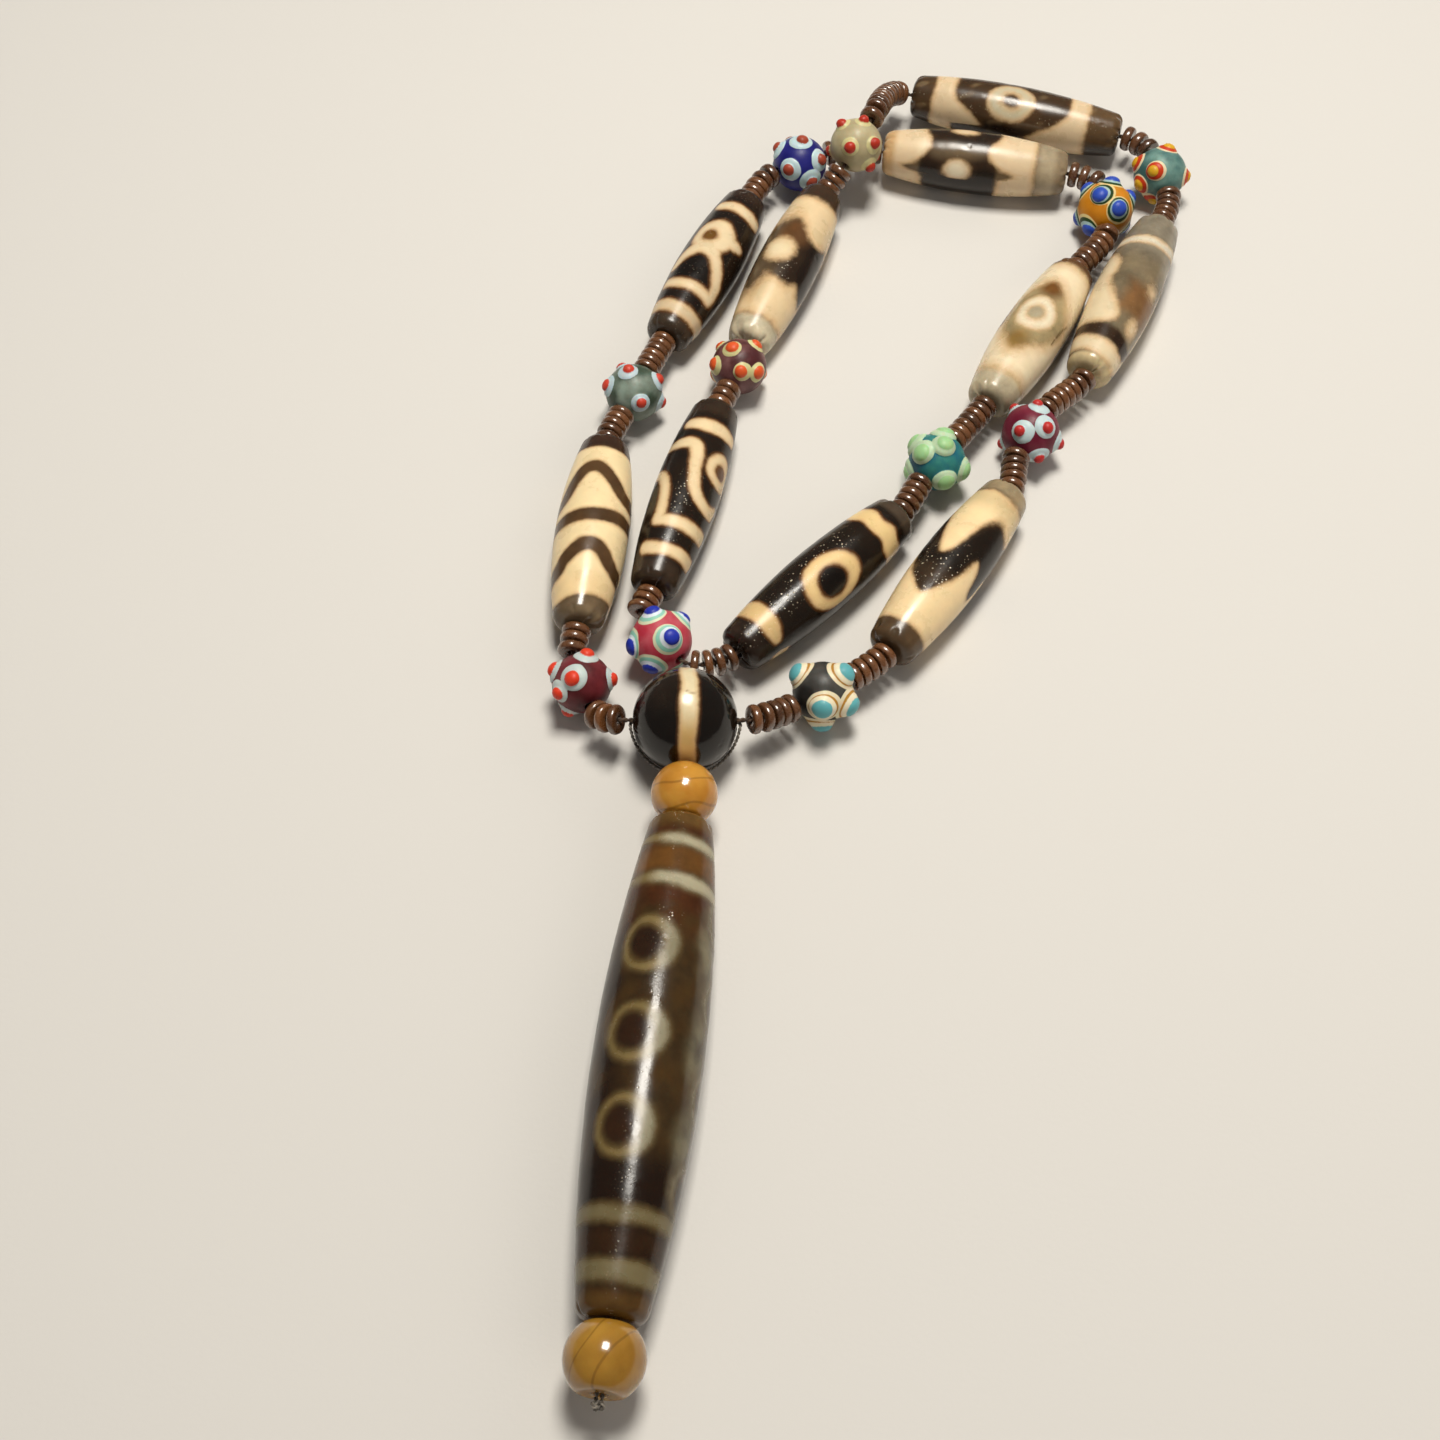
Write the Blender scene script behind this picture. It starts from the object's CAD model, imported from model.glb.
import math

import bpy
import numpy as np
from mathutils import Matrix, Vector


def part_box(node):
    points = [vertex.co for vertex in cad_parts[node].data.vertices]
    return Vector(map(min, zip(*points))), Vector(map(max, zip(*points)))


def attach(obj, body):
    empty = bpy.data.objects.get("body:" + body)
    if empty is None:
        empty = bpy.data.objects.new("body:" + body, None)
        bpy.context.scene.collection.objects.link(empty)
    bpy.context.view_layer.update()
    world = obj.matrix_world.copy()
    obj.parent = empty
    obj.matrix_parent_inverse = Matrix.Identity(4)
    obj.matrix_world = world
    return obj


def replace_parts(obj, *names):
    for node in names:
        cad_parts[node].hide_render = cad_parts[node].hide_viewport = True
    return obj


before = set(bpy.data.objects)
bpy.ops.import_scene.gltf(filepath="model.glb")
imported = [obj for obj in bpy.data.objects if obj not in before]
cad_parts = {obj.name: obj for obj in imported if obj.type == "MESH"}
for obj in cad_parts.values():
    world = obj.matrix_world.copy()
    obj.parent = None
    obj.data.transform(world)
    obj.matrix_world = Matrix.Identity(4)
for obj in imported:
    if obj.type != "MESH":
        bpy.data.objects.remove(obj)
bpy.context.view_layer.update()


# ---- Table top, light and camera ----
# The necklace lies on a plain pale table top. A softbox above and behind it draws the bright
# streak along each bead, and two wide dim ones only fill the shadows. The camera looks down on
# it from the pendant's side.

MM = 0.001
TABLE_TOP = (0.62, 0.6, 0.57)
TABLE_SIZE = 2.4
FOCAL_LENGTH = 47.5
SENSOR_WIDTH = 36
CAMERA_PLACE = (-37.81 * MM, -223.22 * MM, 307.6 * MM)
CAMERA_TILT = 33
ROOM_COLOUR = (1.0, 0.97, 0.93, 1)
ROOM_STRENGTH = 0.12

table_mesh = bpy.data.meshes.new("table_top")
half_table = TABLE_SIZE / 2
table_corners = ((-1, -1), (1, -1), (1, 1), (-1, 1))
table_mesh.from_pydata(
    [(x * half_table, y * half_table, 0) for x, y in table_corners], [], [(0, 1, 2, 3)]
)
table_top = bpy.data.objects.new("table_top", table_mesh)
bpy.context.scene.collection.objects.link(table_top)


def new_finish(name, **settings):
    """A material with one Principled shader, whose plain settings are given by name."""
    finish = bpy.data.materials.new(name)
    finish.use_nodes = True
    shader = finish.node_tree.nodes["Principled BSDF"]
    for setting, value in settings.items():
        shader.inputs[setting.replace("_", " ")].default_value = value
    return finish, finish.node_tree, shader


def add(tree, kind, inputs, output=0, **settings):
    """Adds one shader node, joined to or set by the inputs, and returns one of its outputs."""
    made = tree.nodes.new("ShaderNode" + kind)
    for setting, value in settings.items():
        setattr(made, setting, value)
    for key, value in inputs.items():
        socket = made.inputs[key]
        if isinstance(value, bpy.types.NodeSocket):
            tree.links.new(value, socket)
        else:
            socket.default_value = value
    return made.outputs[output]


def noise(tree, where, scale, detail, **more):
    """Uneven grain from 0 to 1, where scale is the number of its swells in a metre."""
    inputs = {"Vector": where, "Scale": scale, "Detail": detail}
    inputs.update({setting.capitalize(): value for setting, value in more.items()})
    return add(tree, "TexNoise", inputs, "Fac")


def relief(tree, shader, height, strength, depth):
    """Gives the surface a fine relief that is depth metres deep."""
    bump = add(tree, "Bump", {"Height": height, "Strength": strength, "Distance": depth})
    tree.links.new(bump, shader.inputs["Normal"])


def tint(code):
    """Colour of a shader from the hex code of how it looks."""
    parts = [int(code[k : k + 2], 16) / 255 for k in (1, 3, 5)]
    return tuple(p / 12.92 if p <= 0.04045 else ((p + 0.055) / 1.055) ** 2.4 for p in parts) + (1,)


table_finish, tree, shader = new_finish("table_paper", Base_Color=TABLE_TOP + (1,), Roughness=0.9)
grain = noise(tree, add(tree, "TexCoord", {}, "Object"), 900.0, 4.0)
relief(tree, shader, grain, 0.15, 0.0002)
table_mesh.materials.append(table_finish)


def softbox(name, place, width, depth, watts, colour):
    """An area light of that size, which looks at the middle of the necklace."""
    lamp = bpy.data.lights.new(name, "AREA")
    lamp.shape = "RECTANGLE"
    lamp.size = width
    lamp.size_y = depth
    lamp.energy = watts
    lamp.color = colour
    holder = bpy.data.objects.new(name, lamp)
    holder.location = place
    holder.rotation_euler = (-Vector(place)).to_track_quat("-Z", "Y").to_euler()
    bpy.context.scene.collection.objects.link(holder)
    return holder


softbox("overhead_softbox", (0.03, 0.19, 0.9), 0.25, 0.32, 9.6, (1.0, 0.96, 0.88))
softbox("front_fill", (0.55, -0.9, 0.7), 0.9, 0.7, 2.4, (1.0, 0.93, 0.85)).visible_glossy = False
softbox("back_fill", (0.75, 0.8, 0.7), 0.9, 0.6, 2.2, (1.0, 0.96, 0.92)).visible_glossy = False

bpy.context.scene.view_settings.view_transform = "Standard"
room = bpy.data.worlds.new("room")
room.use_nodes = True
room.node_tree.nodes["Background"].inputs["Color"].default_value = ROOM_COLOUR
room.node_tree.nodes["Background"].inputs["Strength"].default_value = ROOM_STRENGTH
bpy.context.scene.world = room

camera = bpy.data.objects.new("camera", bpy.data.cameras.new("camera"))
camera.data.lens = FOCAL_LENGTH
camera.data.sensor_width = SENSOR_WIDTH
camera.data.clip_start = 0.01
camera.location = CAMERA_PLACE
camera.rotation_euler = (math.radians(CAMERA_TILT), 0, 0)
bpy.context.scene.collection.objects.link(camera)
bpy.context.scene.camera = camera


# ---- Blanks of the dzi beads ----
# A dzi bead is a long barrel of agate, drilled from both ends and polished. Its light lines
# are etched white with soda, its dark ground is stained, and age has pitted and nicked it.

# Every strung bead: middle x, y, z, heading and slope of its bore, length and girth, in mm
STRUNG = {
    "round_bead": (-44.31, -29.92, 9.9, 180, 0, 19.8, 19.8),
    "glass_burgundy": (-64.21, -19.62, 7, 109, 0, 11.52, 11.52),
    "dzi_arches": (-63.51, 16.58, 7.49, 85, 0, 46.295, 14.98),
    "glass_green": (-56.11, 54.88, 7, 69, 0, 12, 12),
    "dzi_hook": (-40.61, 91.98, 6.895, 67, 0, 46.53, 13.79),
    "glass_blue": (-19.21, 126.48, 7, 28, 0, 12.36, 12.36),
    "dzi_moon": (21.49, 126.68, 7.105, -10, 0, 42.77, 14.21),
    "glass_orange": (50.19, 110.98, 7, -93, 0, 12.36, 12.36),
    "dzi_halo": (29.79, 71.28, 7, -120, 0, 44.885, 14),
    "glass_teal": (7.09, 35.68, 7, -124, 0, 11.82, 11.82),
    "dzi_ring": (-18.21, 4.58, 6.79, -134, 0, 47.235, 13.58),
    "glass_pink": (-49.21, -9.62, 7, 130, 0, 12, 12),
    "dzi_scroll": (-44.81, 26.28, 6.895, 75, 0, 48.88, 13.79),
    "glass_purple": (-33.71, 62.38, 7, 71, 0, 11.82, 11.82),
    "dzi_cloud": (-23.11, 91.78, 7.095, 68, 3, 47.47, 13.79),
    "glass_cream": (-6.61, 124.38, 14.2, 59, 20, 11.82, 11.82),
    "dzi_peaks": (32.49, 143.58, 6.79, -17, 0, 50.055, 13.58),
    "glass_sea": (64.19, 122.98, 7, -81, 0, 12, 12),
    "dzi_patches": (51.09, 82.38, 7.105, -115, 0, 49.82, 14.21),
    "glass_maroon": (27.19, 43.58, 7, -120, 0, 12, 12),
    "dzi_tooth": (7.89, 7.58, 6.895, -124, 0, 47.235, 13.79),
    "glass_black": (-18.21, -21.62, 7, -149, 0, 11.64, 11.64),
}
DZI_END = 9.4
DZI_EDGE = 2
DZI_BORE = 2.2
# Rounded lip where a bore breaks out: how deep it lies, and how far out from the bore's wall
LIP = ((0.06, 0.32), (0.22, 0.12), (0.5, 0))
LIP_REACH = 0.5
# Slow unevenness of a stone ground by hand, as depth and size of its swells, then its ripples
SWELL = (0.07, 11)
RIPPLE = (0.03, 3.5)
# It fades in over so many mm from the wall of the bore
FADE = 0.8
# Rows of pits: count, nearest and farthest place as shares of the half length, width and depth
STONE_PITS = (
    (26, 0.05, 0.95, 0.55, 0.12),
    (9, 0.9, 1.0, 1.3, 0.34),
    (5, 0.97, 1.0, 2.1, 0.5),
)
STONE_AROUND = 112
STONE_ALONG = 126


def bore_frame(heading, slope):
    """Directions along a bore, up from it and to its right, for a heading and slope in degrees."""
    h = math.radians(heading)
    lean = math.radians(slope)
    along = np.array([math.cos(lean) * math.cos(h), math.cos(lean) * math.sin(h), math.sin(lean)])
    right = np.array([math.sin(h), -math.cos(h), 0])
    return along, np.cross(right, along), right


def barrel_profile(length, girth, end, edge, bore, side_steps):
    """Half outline of a drilled barrel as rows of place along the bore, radius and outward way."""
    drop = (girth - end) / 2
    arc = (length**2 / 4 + drop**2) / (2 * drop)
    arc_centre = girth / 2 - arc
    edge_s = length / 2 - edge
    edge_r = arc_centre + math.sqrt((arc - edge) ** 2 - edge_s**2)
    lean = math.atan2(edge_s, edge_r - arc_centre)
    rows = []
    for turn in np.linspace(-lean, lean, side_steps):
        ahead, outward = math.sin(turn), math.cos(turn)
        rows.append((arc * ahead, arc_centre + arc * outward, ahead, outward))
    mouth = bore / 2
    tip = []
    for turn in np.linspace(lean, math.pi / 2, 7)[1:]:
        ahead, outward = math.sin(turn), math.cos(turn)
        tip.append((edge_s + edge * ahead, edge_r + edge * outward, ahead, outward))
    for r in np.linspace(edge_r, mouth + LIP_REACH, 4)[1:]:
        tip.append((length / 2, r, 1, 0))
    for sink, r in LIP:
        tip.append((length / 2 - sink, mouth + r, 0.7, 0.7))
    back = [(-s, r, -a, b) for s, r, a, b in reversed(tip)]
    wall = [(s, mouth, 0, 1) for s in np.linspace(length / 2, -length / 2, 9)[1:-1]]
    return np.array(back + rows + tip + wall)


def drift(points, size, seed):
    """Slow uneven values, mostly from -1 to 1, whose swells are about size long."""
    chance = np.random.default_rng(seed)
    total = np.zeros(points.shape[:-1])
    waves = 7
    for _ in range(waves):
        way = chance.normal(size=3)
        way *= 2 * math.pi / (np.linalg.norm(way) * size * chance.uniform(0.7, 1.5))
        total += np.sin(points @ way + chance.uniform(0, 2 * math.pi))
    return total * 1.5 / waves


def ease(x):
    """Goes smoothly from 0 to 1 as x does."""
    x = np.clip(x, 0, 1)
    return x * x * (3 - 2 * x)


def solid_from_grids(name, grids, finish, marks=None):
    """One object of grids of points in mm that close on themselves both ways, with its marks."""
    corners, faces, start = [], [], 0
    for points in grids:
        rings, around = points.shape[:2]
        i, j = np.meshgrid(np.arange(rings), np.arange(around), indexing="ij")
        nxt, beside = (i + 1) % rings, (j + 1) % around
        here, ahead = i * around, nxt * around
        quads = np.stack([here + j, ahead + j, ahead + beside, here + beside], -1).reshape(-1, 4)
        flat = points.reshape(-1, 3)
        a, b, c, d = (flat[quads[:, k]] - flat.mean(0) for k in range(4))
        volume = (a * np.cross(b, c)).sum() + (a * np.cross(c, d)).sum()
        if volume < 0:
            quads = quads[:, ::-1]
        corners.append(flat)
        faces.append(quads + start)
        start += len(flat)
    mesh = bpy.data.meshes.new(name)
    mesh.from_pydata((np.concatenate(corners) * MM).tolist(), [], np.concatenate(faces).tolist())
    mesh.polygons.foreach_set("use_smooth", [True] * len(mesh.polygons))
    for mark, values in (marks or {}).items():
        if values.shape[-1] == 4 and values.ndim == 3:
            layer = mesh.attributes.new(mark, "FLOAT_COLOR", "POINT")
            layer.data.foreach_set("color", np.ascontiguousarray(values, np.float32).ravel())
        else:
            layer = mesh.attributes.new(mark, "FLOAT", "POINT")
            layer.data.foreach_set("value", np.ascontiguousarray(values, np.float32).ravel())
    mesh.materials.append(finish)
    piece = bpy.data.objects.new(name, mesh)
    bpy.context.scene.collection.objects.link(piece)
    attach(piece, "root")
    return piece


def pitted(s, w, girth, reach, pits, seed):
    """Depth of random pits, in mm, for rows of pits like those of STONE_PITS."""
    chance = np.random.default_rng(seed)
    round_the_bead = math.pi * girth
    depth = np.zeros(s.shape)
    for count, inner, outer, wide, deep in pits:
        for _ in range(count):
            at_s = chance.choice([-1, 1]) * chance.uniform(inner, outer) * reach
            at_w = chance.uniform(-0.5, 0.5) * round_the_bead
            size = wide * chance.uniform(0.5, 1.2)
            off_w = (w - at_w + round_the_bead / 2) % round_the_bead - round_the_bead / 2
            gap = np.hypot(s - at_s, off_w * chance.uniform(0.6, 1.5))
            depth = np.maximum(depth, deep * chance.uniform(0.5, 1) * ease(1.3 * (1 - gap / size)))
    return depth


class Stone:
    """Grid of a turned and drilled bead: its points, and s and w, the places along and round it."""

    def __init__(self, place, length, girth, profile, around, pits, seed, heading, slope=0):
        self.along, self.up, self.right = bore_frame(heading, slope)
        self.girth = girth
        turn = np.linspace(-math.pi, math.pi, around, endpoint=False)
        self.s, phi = np.meshgrid(profile[:, 0], turn, indexing="ij")
        self.w = phi * girth / 2
        radius = np.broadcast_to(profile[:, 1:2], phi.shape)
        out = np.cos(phi)[..., None] * self.up + np.sin(phi)[..., None] * self.right
        normal = profile[:, 2][:, None, None] * self.along + profile[:, 3][:, None, None] * out
        local = self.s[..., None] * self.along + radius[..., None] * out
        outside = ease((radius - profile[:, 1].min()) / FADE)
        swell = SWELL[0] * (1 + drift(local, SWELL[1], seed)) / 2
        slack = swell + RIPPLE[0] * (1 + drift(local, RIPPLE[1], seed + 1)) / 2
        sunk = (slack + pitted(self.s, self.w, girth, length / 2, pits, seed + 2)) * outside
        self.points = np.array(place) + local - sunk[..., None] * normal
        self.local = local


def dzi_blank(name, seed):
    """Unmarked blank of one dzi bead, at its place on the strand."""
    x, y, z, heading, slope, length, girth = STRUNG[name]
    profile = barrel_profile(length, girth, DZI_END, DZI_EDGE, DZI_BORE, STONE_ALONG)
    return Stone((x, y, z), length, girth, profile, STONE_AROUND, STONE_PITS, seed, heading, slope)


def flowing(points, closed=False, steps=6):
    """Points along a smooth curve through the given ones."""
    p = np.array(points, float)
    before = p[[-1, *range(len(p) - 1)]] if closed else p[[0, *range(len(p) - 1)]]
    after = p[[*range(1, len(p)), 0]] if closed else p[[*range(1, len(p)), -1]]
    lean = (after - before) / 2
    run = []
    for i in range(len(p) if closed else len(p) - 1):
        j = (i + 1) % len(p)
        for t in np.arange(steps) / steps:
            run.append(
                (2 * t**3 - 3 * t**2 + 1) * p[i]
                + (t**3 - 2 * t**2 + t) * lean[i]
                + (3 * t**2 - 2 * t**3) * p[j]
                + (t**3 - t**2) * lean[j]
            )
    if not closed:
        run.append(p[-1])
    return np.array(run)


def stroke(s, w, points, width):
    """Depth in mm inside a line brushed through the points, with one width or one for each."""
    widths = np.broadcast_to(width, len(points))
    run = flowing([(a, b, c) for (a, b), c in zip(points, widths)])
    depth = np.full(s.shape, -99.0)
    for (sa, wa, da), (sb, wb, db) in zip(run, run[1:]):
        ds, dw = sb - sa, wb - wa
        t = np.clip(((s - sa) * ds + (w - wa) * dw) / max(ds * ds + dw * dw, 1e-9), 0, 1)
        gap = np.hypot(s - sa - t * ds, w - wa - t * dw)
        depth = np.maximum(depth, (da + t * (db - da)) / 2 - gap)
    return depth


def patch(s, w, outline):
    """Depth in mm inside a closed outline that flows through the points."""
    run = flowing(outline, closed=True)
    gap = np.full(s.shape, 99.0)
    inside = np.zeros(s.shape, bool)
    for (sa, wa), (sb, wb) in zip(run, np.roll(run, -1, 0)):
        ds, dw = sb - sa, wb - wa
        t = np.clip(((s - sa) * ds + (w - wa) * dw) / max(ds * ds + dw * dw, 1e-9), 0, 1)
        gap = np.minimum(gap, np.hypot(s - sa - t * ds, w - wa - t * dw))
        crosses = (wa > w) != (wb > w)
        inside ^= crosses & (s < sa + (w - wa) * ds / (dw if abs(dw) > 1e-9 else 1e-9))
    return np.where(inside, gap, -gap)


def oval(s, w, at_s, at_w, half_s, half_w):
    """Depth in mm inside an oval."""
    return (1 - np.hypot((s - at_s) / half_s, (w - at_w) / half_w)) * min(half_s, half_w)


def band(s, at, width):
    """Depth in mm inside a band round the bead."""
    return width / 2 - np.abs(s - at)


def edge(s, w, line):
    """Distance in mm past a smooth line that runs round the bead, given as pairs of w and s."""
    run = flowing(sorted(line))
    slope = np.gradient(run[:, 1]) / np.maximum(np.gradient(run[:, 0]), 0.05)
    along = np.maximum.accumulate(run[:, 0])
    return (s - np.interp(w, along, run[:, 1])) / np.sqrt(1 + np.interp(w, along, slope) ** 2)


def both(*depths):
    """Inside all of these."""
    return np.minimum.reduce(depths)


def either(*depths):
    """Inside any of these."""
    return np.maximum.reduce(depths)


def washed(ground, *layers):
    """Colour over the bead. Each layer is a depth, the width of its soft rim in mm and a colour."""
    colour = np.broadcast_to(np.array(tint(ground)), layers[0][0].shape + (4,)).copy()
    for depth, rim, code in layers:
        share = ease(depth / rim + 0.5)[..., None]
        colour += share * (np.array(tint(code)) - colour)
    return colour


IVORY = "#E9D2A4"
SHELL = "#C6A274"
# How far an etched line strays from its course in mm, and the sizes of its swells along and
# round the bead
WAVER = 0.22
WAVER_SIZES = (6, 7)


def marked(tree, mark, output="Fac"):
    """What a mark of the mesh says at each point."""
    return add(tree, "Attribute", {}, output, attribute_name=mark)


def times(tree, a, b):
    return add(tree, "Math", {0: a, 1: b}, operation="MULTIPLY")


def plus(tree, a, b):
    return add(tree, "Math", {0: a, 1: b}, operation="ADD")


def scaled(tree, value, factor, start):
    """The value times a factor, on top of a start."""
    return add(tree, "Math", {0: value, 1: factor, 2: start}, operation="MULTIPLY_ADD")


def spread(tree, value, low, high, start=0.0, end=1.0, eased=False):
    """Goes from start to end as the value goes from low to high, evenly or eased at both ends."""
    inputs = {"Value": value, "From Min": low, "From Max": high, "To Min": start, "To Max": end}
    return add(tree, "MapRange", inputs, interpolation_type="SMOOTHSTEP" if eased else "LINEAR")


def covered(tree, share, under, over):
    """One colour, covered by another as far as the share says."""
    return add(tree, "Mix", {0: share, 6: under, 7: over}, 2, data_type="RGBA")


def shaded(tree, colour, factor):
    """A colour made lighter or darker by a factor."""
    return add(tree, "VectorMath", {0: colour, 3: factor}, operation="SCALE")


def etched_agate(name, fringe, gloss, soft=0.42, see_through=0.12, rim=SHELL):
    """Polished agate. Marks on the mesh say how deep a point lies in the etched white, the colour
    of the white and of the ground there, and how worn it is. The white turns to the rim colour at
    its edge, which is soft mm wide to each side, and the ground to the fringe colour beside it."""
    finish, tree, shader = new_finish(
        name,
        IOR=1.54,
        Specular_IOR_Level=0.36,
        Subsurface_Scale=0.0012,
        Subsurface_Weight=see_through,
    )
    where = add(tree, "TexCoord", {}, "Object")
    swirl = noise(tree, where, 620.0, 3.0)
    crumb = noise(tree, where, 2400.0, 2.0)
    cloud = noise(tree, where, 170.0, 5.0, roughness=0.6)

    depth = plus(tree, marked(tree, "etched"), scaled(tree, swirl, 0.5, -0.25))
    depth = plus(tree, depth, scaled(tree, crumb, 0.16, -0.08))
    white = spread(tree, depth, -soft, soft, eased=True)
    near = spread(tree, depth, -0.5 - soft, 0.0, 0.0, 0.8, eased=True)
    near = times(tree, near, marked(tree, "fringe"))
    cloudy = spread(tree, cloud, 0.3, 0.72, 0.62, 1.22)
    ground = shaded(tree, marked(tree, "ground", "Color"), cloudy)
    ground = covered(tree, near, ground, tint(fringe))
    milky = spread(tree, cloud, 0.35, 0.75, 1.03, 0.86)
    etch = shaded(tree, marked(tree, "white", "Color"), milky)
    inner = spread(tree, depth, -0.1, 0.9, 0.1, 1.0)
    etch = covered(tree, inner, tint(rim), etch)
    colour = covered(tree, white, ground, etch)

    # Worn skin is dotted with fine pits, which hold pale dust
    pit = add(tree, "TexVoronoi", {"Vector": where, "Scale": 1500.0, "Randomness": 1.0}, "Distance")
    pit = spread(tree, pit, 0.08, 0.36, eased=True)
    some = spread(tree, noise(tree, where, 1100.0, 1.0), 0.46, 0.62)
    worn = times(tree, marked(tree, "worn"), some)
    speck = times(tree, spread(tree, pit, 0.0, 1.0, 0.8, 0.0), worn)
    colour = covered(tree, speck, colour, tint("#EBDCBE"))
    tree.links.new(colour, shader.inputs["Base Color"])

    skin = add(tree, "Mix", {0: worn, 2: 1.0, 3: pit}, 0, data_type="FLOAT")
    fine = scaled(tree, crumb, 0.12, skin)
    relief(tree, shader, scaled(tree, swirl, 0.5, fine), 0.5, 0.00009)
    seldom = spread(tree, cloud, 0.5, 0.62, 1.0, 0.0)
    shallow = add(tree, "Math", {0: worn, 1: seldom}, operation="MAXIMUM")
    dull = scaled(tree, shallow, 0.1, gloss)
    tree.links.new(scaled(tree, white, 0.07, dull), shader.inputs["Roughness"])
    return finish


def etched_bead(node, blank, figure, finish):
    """Lays the etched figure on both broad faces of a blank and makes the bead of it."""
    name = node + "_stone"
    half_round = math.pi * blank.girth / 2
    waver = WAVER * drift(blank.local, WAVER_SIZES[0], len(name))
    sway = WAVER * drift(blank.local, WAVER_SIZES[1], len(name) + 5)
    s, w = blank.s + waver, blank.w + sway
    front = figure(s, w)
    back = figure(s, (w + 2 * half_round) % (2 * half_round) - half_round)
    turned = ease((np.abs(blank.w) - half_round / 2) / 2 + 0.5)
    marks = {}
    for mark in front:
        share = turned[..., None] if front[mark].ndim == 3 else turned
        marks[mark] = front[mark] + share * (back[mark] - front[mark])
    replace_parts(solid_from_grids(name, [blank.points], finish, marks), node)


def look(etched, white, ground, fringe=1.0, worn=0.0):
    """Marks of a figure, with a fringe and wear that may be one number for the whole bead."""
    return {
        "etched": etched,
        "white": white,
        "ground": ground,
        "fringe": np.broadcast_to(fringe, etched.shape),
        "worn": np.broadcast_to(worn, etched.shape),
    }


light_agate = etched_agate("ivory_agate", "#5E4227", 0.16)
dark_agate = etched_agate("black_brown_agate", "#6E4420", 0.17)


# ---- Dzi bead with arches ----
# Almost all of this bead is etched ivory. Of the brown ground only lines are left: two arches
# that turn their backs to each other, with one line round the middle, and the dark ends.

def arches(s, w):
    near_arch = stroke(s, w, [
        (-12.6, 13), (-12.6, 10.5), (-12.3, 8.2), (-10.9, 5.6), (-9, 3.6), (-8, 1.4), (-8.7, -1.3),
        (-11.3, -4.2), (-13.7, -6.5), (-15, -12),
    ], 3.3)
    middle = stroke(s, w, [
        (0, 13), (-0.2, 6), (-0.8, 1), (-1.4, -2.5), (-2.2, -6.5), (-2.8, -12),
    ], 3.1)
    far_arch = stroke(s, w, [
        (5.2, 13), (5.3, 10.3), (6, 7), (8.4, 4.4), (11, 2), (12, -0.4), (11.2, -2.9), (7.9, -4.9),
        (4.8, -6.4), (3, -8.4), (2, -12),
    ], 3.3)
    near_cap = -edge(s, w, [(-24, -19), (-8, -20.6), (0, -19.6), (6, -18.8), (24, -18.2)])
    far_cap = s - 18
    ground = washed(
        "#543C24",
        (near_cap, 2, "#65543F"),
        (far_cap, 2.5, "#38251A"),
        (near_cap - 2.5, 2, "#79674E"),
    )
    white = washed(IVORY, (-edge(s, w, [(-24, -14), (24, -15)]), 5, "#E4C897"))
    return look(-either(near_arch, middle, far_arch, near_cap, far_cap), white, ground, 0.2)


etched_bead("dzi_arches", dzi_blank("dzi_arches", 11), arches, light_agate)


# ---- Dzi bead with a hook ----
# Dark brown agate with an ivory line round each end. Between them one line closes to a D, and
# the tail of that D swells into a knob with a brown eye and a short horn.

def hook(s, w):
    near_line = band(s, -18.4, 3.1)
    bar = stroke(s, w, [(-11.9, 7.3), (-11.8, 2), (-11.8, -5.6)], 2.7)
    top = stroke(s, w, [(-12, 7.2), (-9, 6.9), (-5.2, 5.2), (-2.4, 3), (-0.6, 1)], 2.9)
    bottom = stroke(s, w, [(-6.6, -6), (-4, -4.8), (-1.6, -2.8), (0, -1)], [2.2, 2.8, 3.2, 3.4])
    knob = oval(s, w, 4, 0, 5.3, 4.9)
    joint = patch(s, w, [(-3.4, 3.4), (0.6, 3), (1, -2.8), (-3.2, -4.2), (-2.2, -0.5)])
    horn = stroke(s, w, [(4, 2), (4.3, 5), (4.5, 7)], [3.8, 3.2, 1.8])
    eye = oval(s, w, 3.7, -0.8, 1.9, 1.7)
    far_line = stroke(s, w, [(14.7, 8.6), (14.6, 3), (14.8, -3.4)], [2.8, 3.4, 3])
    marks = either(near_line, bar, top, bottom, joint, knob, horn, far_line)
    ground = washed(
        "#1F150E",
        (oval(s, w, -7.2, -0.5, 4, 4.6), 2, "#140D08"),
        (s - 19, 3, "#33241A"),
        (-20.4 - s, 1.5, "#3E3226"),
    )
    ground = ground + ease(eye / 1.2 + 0.5)[..., None] * (np.array(tint("#6B4A1E")) - ground)
    white = washed("#DCC7A2", (-edge(s, w, [(-24, -17), (24, -17)]), 3, "#CDB794"))
    return look(both(marks, -eye) * 0.8, white, ground, 0.8, 0.12)


etched_bead("dzi_hook", dzi_blank("dzi_hook", 23), hook, dark_agate)


# ---- Dzi bead with a moon ----
# Ivory at both ends and smoky in the middle, where a round white eye stands over a small
# ivory spot. The far end is capped in grey.

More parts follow.
